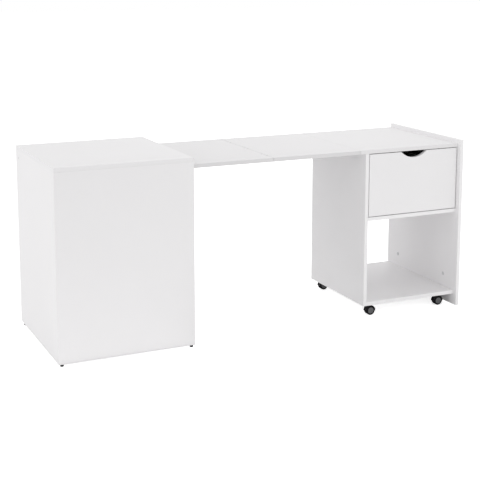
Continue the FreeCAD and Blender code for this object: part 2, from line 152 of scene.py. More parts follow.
def bar(name: str, low: Vector, high: Vector) -> Object:
    """Adds a rectangular bar as the start of a piece.

    Args:
        name: The piece's name.
        low: Lowest corner in the frame.
        high: Highest corner in the frame.

    Returns:
        The new object.
    """
    bpy.ops.object.select_all(action="DESELECT")
    bpy.ops.mesh.primitive_cube_add(size=1.0, location=(low + high) / 2, scale=high - low)
    return settle(bpy.context.object, name)


@contextmanager
def editing(obj: Object, mode: str = "FACE") -> Iterator[None]:
    """Edit mode on one object, with nothing selected at first.

    Args:
        obj: The object to edit.
        mode: FACE or EDGE selection.

    Yields:
        Nothing.
    """
    select_only(obj)
    bpy.ops.object.mode_set(mode="EDIT")
    bpy.ops.mesh.select_mode(type=mode)
    bpy.ops.mesh.select_all(action="DESELECT")
    yield
    bpy.ops.object.mode_set(mode="OBJECT")


def pick_faces(obj: Object, test: Callable[[Face], bool]) -> None:
    """Selects the faces that pass a test, in edit mode.

    Args:
        obj: The object in edit mode.
        test: Says whether a face is wanted.
    """
    mesh = bmesh.from_edit_mesh(obj.data)
    mesh.normal_update()
    for face in mesh.faces:
        face.select_set(False)
    for face in mesh.faces:
        if test(face):
            face.select_set(True)
    bmesh.update_edit_mesh(obj.data)


def pick_edges(obj: Object, test: Callable[[Vector, Vector], bool]) -> None:
    """Selects the edges whose two ends pass a test, in edit mode.

    Args:
        obj: The object in edit mode.
        test: Says whether an edge between two points is wanted.
    """
    mesh = bmesh.from_edit_mesh(obj.data)
    for edge in mesh.edges:
        edge.select_set(False)
    for edge in mesh.edges:
        if test(edge.verts[0].co, edge.verts[1].co):
            edge.select_set(True)
    bmesh.update_edit_mesh(obj.data)


def cap_facing(direction: Vector) -> Callable[[Face], bool]:
    """A test for the many-sided end face of a turned piece that looks one way.

    Args:
        direction: The way the face looks.

    Returns:
        The test for pick_faces.
    """
    return lambda face: len(face.verts) > END_CORNERS and face.normal.dot(direction) > END_FACING


def step(obj: Object, direction: Vector, *rings: Pair) -> None:
    """Shapes the end of a turned piece by rings that go inwards one after another.

    Args:
        obj: The turned piece.
        direction: The way its end looks.
        rings: For each ring its width and its rise along the direction, in metres.
    """
    for width, rise in rings:
        with editing(obj):
            pick_faces(obj, cap_facing(direction))
            bpy.ops.mesh.inset(thickness=width, depth=rise)


def bore_through(obj: Object) -> None:
    """Joins the two smallest end faces of a turned piece by a bore.

    Args:
        obj: The turned piece, with both ends stepped in to the bore's radius.
    """
    with editing(obj):
        pick_faces(obj, lambda face: len(face.verts) > END_CORNERS)
        bpy.ops.mesh.bridge_edge_loops()


def round_edges(obj: Object, test: Callable[[Vector, Vector], bool], width: float, segments: int) -> None:
    """Rounds the edges whose two ends pass a test.

    Args:
        obj: The piece.
        test: Says whether an edge between two points is wanted.
        width: The rounding's width in metres.
        segments: Number of faces across it.
    """
    with editing(obj, "EDGE"):
        pick_edges(obj, test)
        bpy.ops.mesh.bevel(offset=width, segments=segments, affect="EDGES")


def round_rims(obj: Object, axis: int, width: float, segments: int = 4) -> None:
    """Rounds both end rims of a plain cylinder.

    Args:
        obj: The cylinder.
        axis: Index of the axis it lies along.
        width: The rounding's width in metres.
        segments: Number of faces across it.
    """
    round_edges(obj, lambda a, b: abs(a[axis] - b[axis]) < SAME_PLACE, width, segments)


def soften(obj: Object, width: float, segments: int = 3) -> None:
    """Applies a bevel to the sharp edges of a piece.

    Args:
        obj: The piece.
        width: The bevel's width in metres.
        segments: Number of faces across it.
    """
    select_only(obj)
    bevel = obj.modifiers.new("soft_edges", "BEVEL")
    bevel.width = width
    bevel.segments = segments
    bevel.limit_method = "ANGLE"
    bpy.ops.object.modifier_apply(modifier=bevel.name)


def carve(obj: Object, tool: Object, operation: str = "DIFFERENCE") -> None:
    """Cuts one object out of another, or melts it in, and deletes the tool.

    Args:
        obj: The piece.
        tool: What is cut away or melted in.
        operation: DIFFERENCE or UNION.
    """
    select_only(obj)
    cut = obj.modifiers.new("cut", "BOOLEAN")
    cut.operation = operation
    cut.object = tool
    cut.solver = "EXACT"
    bpy.ops.object.modifier_apply(modifier=cut.name)
    bpy.data.objects.remove(tool)


def joined(name: str, pieces: list[Object]) -> Object:
    """Joins pieces into one object with smooth shading up to a sharp angle.

    Args:
        name: The joined piece's name.
        pieces: The objects to join.

    Returns:
        The joined object.
    """
    bpy.ops.object.select_all(action="DESELECT")
    for piece in pieces:
        piece.select_set(True)
    bpy.context.view_layer.objects.active = pieces[0]
    if len(pieces) > 1:
        bpy.ops.object.join()
    obj = bpy.context.object
    obj.name = name
    obj.data.name = name
    bpy.ops.object.shade_smooth_by_angle(angle=SMOOTH_ANGLE)
    return obj


def copied(obj: Object, name: str, shift: Vector) -> Object:
    """Copies a piece with its own mesh to another place.

    Args:
        obj: The modelled piece.
        name: The copy's name.
        shift: How far the copy lies from the original.

    Returns:
        The copy.
    """
    twin = obj.copy()
    twin.data = obj.data.copy()
    twin.name = name
    twin.data.name = name
    twin.data.transform(Matrix.Translation(shift))
    bpy.context.scene.collection.objects.link(twin)
    return twin


def middle(node: str) -> Vector:
    """The middle of a CAD node's box.

    Args:
        node: The node's name.

    Returns:
        The middle in the frame.
    """
    low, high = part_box(node)
    return (Vector(low) + Vector(high)) / 2


def solids_of(node: str) -> list[tuple[Vector, Vector]]:
    """The boxes of the separate solids in a CAD node, in a fixed order.

    Args:
        node: The node's name.

    Returns:
        The lowest and highest corner of each solid.
    """
    mesh = bmesh.new()
    mesh.from_mesh(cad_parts[node].data)
    bmesh.ops.remove_doubles(mesh, verts=mesh.verts, dist=SAME_PLACE)
    seen: set[bmesh.types.BMVert] = set()
    boxes: list[tuple[Vector, Vector]] = []
    for start in mesh.verts:
        if start in seen:
            continue
        seen.add(start)
        todo, low, high = [start], start.co.copy(), start.co.copy()
        while todo:
            vert = todo.pop()
            low = Vector(map(min, low, vert.co))
            high = Vector(map(max, high, vert.co))
            for edge in vert.link_edges:
                other = edge.other_vert(vert)
                if other not in seen:
                    seen.add(other)
                    todo.append(other)
        boxes.append((low, high))
    mesh.free()
    return sorted(boxes, key=lambda box: tuple(round(v, 4) for v in box[0]))


def place(obj: Object, body: str, slot: str, finish: Material, *nodes: str) -> None:
    """Puts a finished piece on its body in place of CAD nodes, and reports it.

    Args:
        obj: The finished piece.
        body: The body that it rides on.
        slot: The record's material slot; not used.
        finish: Its material.
        nodes: The CAD nodes that it stands for.
    """
    obj.data.materials.clear()
    obj.data.materials.append(finish)
    if nodes:
        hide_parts(*nodes)
    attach(obj, body)
    log.info("%s rides on %s, %d faces", obj.name, body, len(obj.data.polygons))


# Finishes


class Sheet:
    """A node tree with short calls to add and join nodes."""

    mix_inputs: tuple[int, int, int] = (0, 6, 7)  # a colour Mix node's factor and its two colours
    mix_output: int = 2

    def __init__(self, tree: Tree) -> None:
        """Keeps the tree.

        Args:
            tree: The node tree to fill.
        """
        self.tree = tree

    def add(self, kind: str, **values: object) -> Node:
        """Adds a node, sets its properties and fills or links its sockets.

        Args:
            kind: The node's type name without the shader prefix.
            values: Properties by name, and sockets by name with _ for spaces.

        Returns:
            The new node.
        """
        node = self.tree.nodes.new(kind if kind.startswith("NodeGroup") else "ShaderNode" + kind)
        for key, value in values.items():
            name = key.replace("_", " ")
            if key in node.bl_rna.properties:
                setattr(node, key, value)
            else:
                self.feed(node.inputs[name], value)
        return node

    def feed(self, socket: Socket, value: object) -> None:
        """Links an output into a socket, or sets the socket's own value.

        Args:
            socket: The socket to feed.
            value: Another node's output, or a plain value.
        """
        if isinstance(value, Socket):
            self.tree.links.new(value, socket)
        else:
            socket.default_value = value

    def math(self, operation: str, first: object, second: object = 0.0, clamp: bool = False) -> Socket:
        """A math node's result.

        Args:
            operation: Blender's name of the operation.
            first: First value or output.
            second: Second value or output.
            clamp: Whether the result is kept between 0 and 1.

        Returns:
            The result socket.
        """
        node = self.add("Math", operation=operation, use_clamp=clamp)
        self.feed(node.inputs[0], first)
        self.feed(node.inputs[1], second)
        return node.outputs[0]

    def spread(self, value: Socket, span: Pair, result: Pair = UNIT) -> Socket:
        """Maps a value from one range to another, clamped.

        Args:
            value: The value to map.
            span: Start and end of its range.
            result: What it gives at the start and at the end.

        Returns:
            The result socket.
        """
        node = self.add("MapRange", clamp=True)
        for socket, number in zip(node.inputs, (value, *span, *result)):
            self.feed(socket, number)
        return node.outputs[0]

    def tint(self, factor: Socket, first: object, second: object) -> Socket:
        """Mixes two colours.

        Args:
            factor: Share of the second colour.
            first: First colour or output.
            second: Second colour or output.

        Returns:
            The mixed colour.
        """
        node = self.add("Mix", data_type="RGBA")
        for index, value in zip(self.mix_inputs, (factor, first, second)):
            self.feed(node.inputs[index], value)
        return node.outputs[self.mix_output]

    def noise(self, scale: float, detail: float, stretch: Triple | None = None) -> Socket:
        """Noise on the object's own coordinates.

        Args:
            scale: Noise scale per metre.
            detail: Number of finer layers.
            stretch: Scale along each axis, where the noise is drawn out.

        Returns:
            The noise value.
        """
        where = self.add("TexCoord").outputs["Object"]
        if stretch:
            where = self.add("Mapping", Vector=where, Scale=stretch).outputs[0]
        return self.add("TexNoise", Vector=where, Scale=scale, Detail=detail).outputs[0]


class Effects:
    """Surface effects that several finishes share, each built once as a node group."""

    edge_span: Pair = (0.995, 0.80)
    rub_span: Pair = (0.40, 0.68)
    cloud_span: Pair = (0.3, 0.7)
    pebble_span: Pair = (0.35, 0.65)
    level_span: Pair = (0.5, 1.0)
    film_span: Pair = (0.35, 0.75)
    band_span: Pair = (1.0, 0.96)
    joint_span: Pair = (0.12, 0.0)

    @staticmethod
    def group(name: str, inputs: dict[str, float], outputs: list[str]) -> tuple[Sheet, dict[str, Socket], Node]:
        """Starts a group with named float sockets.

        Args:
            name: The group's name.
            inputs: Input names with their usual values.
            outputs: Output names.

        Returns:
            The sheet, the group's inputs by name, and its output node.
        """
        tree = bpy.data.node_groups.new(name, "ShaderNodeTree")
        for key, value in inputs.items():
            socket = tree.interface.new_socket(key, in_out="INPUT", socket_type="NodeSocketFloat")
            socket.default_value = value
        for key in outputs:
            tree.interface.new_socket(key, in_out="OUTPUT", socket_type="NodeSocketFloat")
        sheet = Sheet(tree)
        source = sheet.add("NodeGroupInput")
        target = sheet.add("NodeGroupOutput")
        return sheet, {key: source.outputs[key] for key in inputs}, target

    @classmethod
    @cache
    def edge_wear(cls) -> Tree:
        """Rubbed edges: a mask along convex edges, broken up by noise.

        Returns:
            The node group.
        """
        sheet, given, target = cls.group("edge_wear", {"Radius": 1.5 * MM, "Patch": 40.0}, ["Mask"])
        soft = sheet.add("Bevel", samples=6, Radius=given["Radius"]).outputs[0]
        flat = sheet.add("NewGeometry").outputs["Normal"]
        facing = sheet.add("VectorMath", operation="DOT_PRODUCT")
        sheet.feed(facing.inputs[0], soft)
        sheet.feed(facing.inputs[1], flat)
        edge = sheet.spread(facing.outputs["Value"], cls.edge_span)
        where = sheet.add("TexCoord").outputs["Object"]
        patch = sheet.add("TexNoise", Vector=where, Scale=given["Patch"], Detail=5.0).outputs[0]
        rubbed = sheet.spread(patch, cls.rub_span)
        sheet.feed(target.inputs["Mask"], sheet.math("MULTIPLY", edge, rubbed))
        return sheet.tree

    @classmethod
    @cache
    def fine_grain(cls) -> Tree:
        """Surface grain: a slow tone, a fine tone and a height.

        Returns:
            The node group.
        """
        sheet, given, target = cls.group(
            "fine_grain", {"Cloud": 6.0, "Pebble": 900.0}, ["Tone", "Speck", "Height"]
        )
        where = sheet.add("TexCoord").outputs["Object"]
        cloud = sheet.add("TexNoise", Vector=where, Scale=given["Cloud"], Detail=6.0).outputs[0]
        pebble = sheet.add("TexNoise", Vector=where, Scale=given["Pebble"], Detail=2.0).outputs[0]
        sheet.feed(target.inputs["Tone"], sheet.spread(cloud, cls.cloud_span))
        sheet.feed(target.inputs["Speck"], sheet.spread(pebble, cls.pebble_span))
        sheet.feed(target.inputs["Height"], pebble)
        return sheet.tree

    @classmethod
    @cache
    def settled_dust(cls) -> Tree:
        """A thin film that lies on upward faces.

        Returns:
            The node group.
        """
        sheet, given, target = cls.group("settled_dust", {"Patch": 14.0}, ["Mask"])
        up = sheet.add("SeparateXYZ", Vector=sheet.add("NewGeometry").outputs["Normal"]).outputs["Z"]
        flat = sheet.spread(up, cls.level_span)
        where = sheet.add("TexCoord").outputs["Object"]
        patch = sheet.add("TexNoise", Vector=where, Scale=given["Patch"], Detail=7.0).outputs[0]
        sheet.feed(target.inputs["Mask"], sheet.math("MULTIPLY", flat, sheet.spread(patch, cls.film_span)))
        return sheet.tree

    @classmethod
    @cache
    def edge_band(cls) -> Tree:
        """The strip glued round a board's narrow faces, from the board's own limits; its mask also places painted
        light and shade on those faces.

        Returns:
            The node group.
        """
        limits = {f"{end} {axis}": 0.0 for end in ("Low", "High") for axis in "XYZ"}
        sheet, given, target = cls.group("edge_band", {**limits, "Thickness": 0.9 * MM}, ["Mask", "Joint"])
        where = sheet.add("SeparateXYZ", Vector=sheet.add("TexCoord").outputs["Object"])
        nearest: Socket | None = None
        for axis in "XYZ":
            here = where.outputs[axis]
            for larger, smaller in ((here, given[f"Low {axis}"]), (given[f"High {axis}"], here)):
                gap = sheet.math("SUBTRACT", larger, smaller)
                nearest = gap if nearest is None else sheet.math("MINIMUM", nearest, gap)
        share = sheet.math("DIVIDE", nearest, given["Thickness"])
        sheet.feed(target.inputs["Mask"], sheet.spread(share, cls.band_span))
        off = sheet.math("ABSOLUTE", sheet.math("SUBTRACT", share, 1.0))
        sheet.feed(target.inputs["Joint"], sheet.spread(off, cls.joint_span))
        return sheet.tree


@dataclass(frozen=True)
class Finish:
    """A finish whose colour, gloss and relief vary over the surface."""

    name: str
    colour: Triple
    second: Triple
    worn: Triple
    gloss: Pair = (0.38, 0.48)
    metallic: float = 0.0
    specular: float = 0.5
    cloud: float = 6.0
    pebble: float = 900.0
    relief: float = 0.05
    depth: float = 0.3 * MM
    wear: float = 0.25
    wear_radius: float = 1.2 * MM
    dust: float = 0.06
    dust_colour: Triple = (0.70, 0.69, 0.67)

    def begin(self, name: str) -> tuple[Material, Sheet, Node]:
        """Makes an empty material with its shader.

        Args:
            name: The material's name.

        Returns:
            The material, its sheet and its Principled BSDF.
        """
        material = bpy.data.materials.new(name)
        material.use_nodes = True
        material.node_tree.nodes.clear()
        sheet = Sheet(material.node_tree)
        shader = sheet.add("BsdfPrincipled", Metallic=self.metallic)
        shader.inputs["Specular IOR Level"].default_value = self.specular
        output = sheet.add("OutputMaterial")
        sheet.feed(output.inputs["Surface"], shader.outputs[0])
        return material, sheet, shader

    def grain(self, sheet: Sheet) -> Node:
        """Places the grain group with this finish's values.

        Args:
            sheet: The material's sheet.

        Returns:
            The group node.
        """
        return sheet.add("Group", node_tree=Effects.fine_grain(), Cloud=self.cloud, Pebble=self.pebble)

    def aged(self, sheet: Sheet, colour: Socket) -> Socket:
        """Adds rubbed edges and settled dust to a colour.

        Args:
            sheet: The material's sheet.
            colour: The clean colour.

        Returns:
            The aged colour.
        """
        worn = sheet.add("Group", node_tree=Effects.edge_wear(), Radius=self.wear_radius).outputs["Mask"]
        colour = sheet.tint(sheet.math("MULTIPLY", worn, self.wear), colour, (*self.worn, 1.0))
        dust = sheet.add("Group", node_tree=Effects.settled_dust()).outputs["Mask"]
        return sheet.tint(sheet.math("MULTIPLY", dust, self.dust), colour, (*self.dust_colour, 1.0))

    def emboss(self, sheet: Sheet, shader: Node, height: Socket) -> None:
        """Feeds a height into the shader's normal.

        Args:
            sheet: The material's sheet.
            shader: The Principled BSDF.
            height: The height value.
        """
        bump = sheet.add("Bump", Strength=self.relief, Distance=self.depth, Height=height)
        sheet.feed(shader.inputs["Normal"], bump.outputs[0])

    def pattern(self, sheet: Sheet) -> tuple[Socket, Socket, Socket]:
        """What varies over the surface.

        Args:
            sheet: The material's sheet.

        Returns:
            The colour's share, the gloss's share and the height.
        """
        grain = self.grain(sheet)
        return grain.outputs["Tone"], grain.outputs["Speck"], grain.outputs["Height"]

    def material(self) -> Material:
        """The finish as a material.

        Returns:
            The material, built on first use.
        """
        known = bpy.data.materials.get(self.name)
        if known:
            return known
        material, sheet, shader = self.begin(self.name)
        tone, speck, height = self.pattern(sheet)
        colour = sheet.tint(tone, (*self.colour, 1.0), (*self.second, 1.0))
        sheet.feed(shader.inputs["Base Color"], self.aged(sheet, colour))
        sheet.feed(shader.inputs["Roughness"], sheet.spread(speck, UNIT, self.gloss))
        self.emboss(sheet, shader, height)
        return material


@dataclass(frozen=True)
class BoardFinish(Finish):
    """Faced board with a glued edge strip that follows each board's own limits, with painted light and shade on the
    narrow faces.
    """

    depth: float = 0.15 * MM
    # colour of the narrow faces: the edge strip's white with painted light and shade, set finish by finish
    band_painted_light_and_shade: Triple = (0.925, 0.917, 0.922)
    band_gloss: float = 0.08
    joint: Triple = (0.60, 0.60, 0.60)
    joint_share: float = 0.35
    beyond: float = 10.0

    def for_board(self, node: str) -> Material:
        """The finish for one board, banded on its narrow faces, whose colour there is painted light and shade.

        Args:
            node: The CAD node of the board.

        Returns:
            The board's material.
        """
        low, high = (Vector(corner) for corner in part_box(node))
        size = high - low
        thin = min(range(3), key=lambda index: size[index])
        low[thin] -= self.beyond
        high[thin] += self.beyond
        material, sheet, shader = self.begin(f"{self.name}_{node}")
        tone, speck, height = self.pattern(sheet)
        band_painted_light_and_shade = sheet.add("Group", node_tree=Effects.edge_band())
        for index, axis in enumerate("XYZ"):
            band_painted_light_and_shade.inputs[f"Low {axis}"].default_value = low[index]
            band_painted_light_and_shade.inputs[f"High {axis}"].default_value = high[index]
        colour = sheet.tint(tone, (*self.colour, 1.0), (*self.second, 1.0))
        # painted light and shade: the narrow faces take their own tone, lighter on the pedestal boards and drawer
        # linings, darker on the cabinet, fixed top and leaves
        colour = sheet.tint(band_painted_light_and_shade.outputs["Mask"], colour, (*self.band_painted_light_and_shade, 1.0))
        joint = sheet.math("MULTIPLY", band_painted_light_and_shade.outputs["Joint"], self.joint_share)
        colour = sheet.tint(joint, colour, (*self.joint, 1.0))
        sheet.feed(shader.inputs["Base Color"], self.aged(sheet, colour))
        plain = sheet.spread(speck, UNIT, self.gloss)
        gloss = sheet.math("SUBTRACT", plain, sheet.math("MULTIPLY", band_painted_light_and_shade.outputs["Mask"], self.band_gloss))
        sheet.feed(shader.inputs["Roughness"], gloss)
        self.emboss(sheet, shader, sheet.math("SUBTRACT", height, band_painted_light_and_shade.outputs["Joint"]))
        return material


@dataclass(frozen=True)
class DrawnMetal(Finish):
    """Plated or drawn metal with fine lines along one axis."""

    depth: float = 0.1 * MM
    lines: Triple = (40.0, 900.0, 900.0)
    line_detail: float = 3.0
    line_span: Pair = (0.35, 0.65)

    def pattern(self, sheet: Sheet) -> tuple[Socket, Socket, Socket]:
        """Lines for the gloss and the height, and lines and clouds for the colour.

        Args:
            sheet: The material's sheet.

        Returns:
            The colour's share, the gloss's share and the height.
        """
        cloud = self.grain(sheet).outputs["Tone"]
        line = sheet.noise(1.0, self.line_detail, self.lines)
        streak = sheet.spread(line, self.line_span)
        return sheet.math("MULTIPLY", sheet.math("ADD", streak, cloud), 0.5), streak, line


@dataclass(frozen=True)
class PlainWood(Finish):
    """Bare wood with grain lines along the piece."""

    depth: float = 0.2 * MM
    fibres: Triple = (60.0, 900.0, 900.0)
    fibre_detail: float = 6.0
    fibre_span: Pair = (0.3, 0.7)

    def pattern(self, sheet: Sheet) -> tuple[Socket, Socket, Socket]:
        """Fibres for the colour, the gloss and the height.

        Args:
            sheet: The material's sheet.

        Returns:
            The colour's share, the gloss's share and the height.
        """
        fibre = sheet.noise(1.0, self.fibre_detail, self.fibres)
        streak = sheet.spread(fibre, self.fibre_span)
        return streak, streak, fibre


WHITE_BOARD = BoardFinish(
    "white_melamine", (0.899, 0.889, 0.896), (0.890, 0.880, 0.887), (0.78, 0.77, 0.76), wear=0.08, dust=0.01,
)
# painted shade: the desk top is the carcass's white board, drawn darker to set it apart from the cabinet's top
WHITE_TOP_PAINTED_SHADE = replace(
    WHITE_BOARD, name="white_top_painted_shade",
    colour=(0.837, 0.827, 0.834), second=(0.829, 0.819, 0.826), band_painted_light_and_shade=(0.830, 0.821, 0.827),
)
# painted shade: the leaves take the top's darkened tone, with darker narrow faces along the desk's front edge
WHITE_LEAF_PAINTED_SHADE = replace(WHITE_TOP_PAINTED_SHADE, name="white_leaf_painted_shade", band_painted_light_and_shade=(0.755, 0.747, 0.752))
# painted shade: the cabinet's narrow faces are drawn darker than its broad faces
WHITE_WRAP = replace(WHITE_BOARD, name="white_wrap", band_painted_light_and_shade=(0.879, 0.869, 0.876), joint_share=0.08)
WHITE_LINING = BoardFinish(
    "white_lining", (0.80, 0.80, 0.79), (0.775, 0.775, 0.765), (0.66, 0.64, 0.60),
    gloss=(0.42, 0.55), relief=0.08, wear=0.12, dust=0.05,
)
# painted shade: the white hinge plates take the desk top's darkened tone
WHITE_ENAMEL_PAINTED_SHADE = Finish(
    "white_enamel_painted_shade", WHITE_TOP_PAINTED_SHADE.colour, WHITE_TOP_PAINTED_SHADE.second, WHITE_TOP_PAINTED_SHADE.worn,
    gloss=(0.36, 0.46), wear=0.08, wear_radius=0.4 * MM, dust=0.01,
)
BEECH = PlainWood("beech", (0.62, 0.44, 0.26), (0.50, 0.33, 0.18), (0.66, 0.50, 0.33), gloss=(0.5, 0.65), relief=0.2)
ZINC = DrawnMetal(
    "zinc_plate", (0.58, 0.58, 0.60), (0.47, 0.47, 0.49), (0.70, 0.70, 0.72),
    gloss=(0.26, 0.42), metallic=1.0, relief=0.08, wear=0.4, wear_radius=0.4 * MM,
)
SATIN_ALUMINIUM = DrawnMetal(
    "satin_aluminium", (0.74, 0.74, 0.76), (0.64, 0.64, 0.66), (0.80, 0.80, 0.82),
    gloss=(0.30, 0.44), metallic=1.0, relief=0.1, wear=0.3, wear_radius=0.5 * MM, lines=(15.0, 1200.0, 1200.0),
)
BLACK_PLASTIC = Finish(
    "black_moulding", (0.007, 0.007, 0.008), (0.012, 0.012, 0.013), (0.05, 0.05, 0.053),
    gloss=(0.45, 0.60), specular=0.15, cloud=60.0, pebble=2600.0,
    relief=0.18, wear=0.3, wear_radius=0.5 * MM, dust=0.03,
)
TYRE_PLASTIC = Finish(
    "black_tyre", (0.006, 0.006, 0.007), (0.010, 0.010, 0.011), (0.035, 0.035, 0.037),
    gloss=(0.55, 0.72), specular=0.12, cloud=80.0, pebble=3200.0,
    relief=0.2, wear=0.35, wear_radius=0.6 * MM, dust=0.04,
)
GREY_HUB = Finish(
    "grey_hub", (0.15, 0.15, 0.155), (0.125, 0.125, 0.13), (0.24, 0.24, 0.25),
    gloss=(0.30, 0.42), cloud=70.0, pebble=2400.0, relief=0.1, wear=0.3, wear_radius=0.4 * MM,
)
NYLON = Finish(
    "natural_nylon", (0.72, 0.71, 0.67), (0.66, 0.65, 0.60), (0.52, 0.51, 0.48),
    gloss=(0.42, 0.55), cloud=50.0, pebble=2200.0, relief=0.1, wear=0.4, wear_radius=0.5 * MM,
)
# painted shade: the caps are drawn mid grey to stand for the shadow that the raised caps show on the end board
GREY_CAP_PAINTED_SHADE = Finish(
    "grey_cap_painted_shade", (0.67, 0.67, 0.68), (0.63, 0.63, 0.64), (0.74, 0.74, 0.75),
    gloss=(0.34, 0.46), cloud=60.0, pebble=2400.0, relief=0.1, wear=0.3, wear_radius=0.4 * MM,
)


# Sub-assemblies


@dataclass
class Screws:
    """Countersunk screws with a crossed recess, in place of the plain ones."""

    head_radius: float = 3.2 * MM
    head_height: float = 1.4 * MM
    shank_radius: float = 1.5 * MM
    recess_arm: float = 2.1 * MM
    recess_width: float = 0.7 * MM
    recess_depth: float = 0.8 * MM
    tip_step: float = 0.5 * MM
    tip_length: float = 1.0 * MM
    sides: int = 24

    def model(self, length: float) -> Object:
        """Models one screw at the origin with its head up.

        Args:
            length: Length from the head's face to the tip.

        Returns:
            The screw.
        """
        centre = Vector((0.0, 0.0, -length / 2))
        screw = turned("screw", self.shank_radius, length, centre, Axis.Z, self.sides)
        grow = self.head_radius / self.shank_radius
        with editing(screw):
            pick_faces(screw, cap_facing(UP))
            bpy.ops.transform.translate(value=(0, 0, -self.head_height))
            bpy.ops.mesh.extrude_region_move(TRANSFORM_OT_translate={"value": (0, 0, self.head_height)})
            bpy.ops.transform.resize(value=(grow, grow, 1.0))
        step(screw, DOWN, (self.tip_step, self.tip_length))
        with editing(screw):
            pick_faces(screw, cap_facing(DOWN))
            bpy.ops.transform.translate(value=(0, 0, self.tip_length))
        arm, half_width, depth = self.recess_arm, self.recess_width / 2, self.recess_depth
        for half in (Vector((arm, half_width, depth)), Vector((half_width, arm, depth))):
            carve(screw, bar("recess", -half, half))
        return screw

    def fit(self, node: str, body: str, facing: Callable[[Vector], Vector], finish: Finish, slot: str) -> None:
        """Puts a modelled screw in the place of each screw of a node.

        Args:
            node: The CAD node of the screws.
            body: The body they ride on.
            facing: Gives the way a head looks from the middle of its screw.
            finish: Their finish.
            slot: The record's material slot.
        """
        boxes = solids_of(node)
        pattern = self.model(max(max(high - low) for low, high in boxes))
        copies: list[Object] = []
        for index, (low, high) in enumerate(boxes):
            seat = (low + high) / 2
            towards = facing(seat)
            axis = max(range(3), key=lambda place: abs(towards[place]))
            seat[axis] = high[axis] if towards[axis] > 0 else low[axis]
            turn = UP.rotation_difference(towards).to_matrix().to_4x4()
            twin = copied(pattern, f"{node}_{index}", Vector())
            twin.data.transform(Matrix.Translation(seat) @ turn)
            copies.append(twin)
        bpy.data.objects.remove(pattern)
        place(joined(f"{node}_crossed", copies), body, slot, finish.material(), node)

    def build(self) -> None:
        """Puts crossed screws in all screw places."""
        leaf_middle = middle("inner_leaf").x
        self.fit("caster_screws", "rolling_pedestal", lambda seat: DOWN, ZINC, "steel")
        self.fit("fold_hinge_screws", "rolling_pedestal", lambda seat: DOWN, ZINC, "steel")
        self.fit("side_screw", "cabinet", lambda seat: LEFT, ZINC, "steel")
        self.fit("guide_rail_screws", "cabinet", lambda seat: BACKWARDS if seat.y < 0 else FORWARDS, ZINC, "steel")
        self.fit("outer_leaf_screws", "outer_leaf_set", lambda seat: UP, WHITE_ENAMEL_PAINTED_SHADE, "white_hinge")
        self.fit(
            "inner_leaf_screws", "inner_leaf_set", lambda seat: UP if seat.x < leaf_middle else DOWN,
            WHITE_ENAMEL_PAINTED_SHADE, "white_hinge",
        )


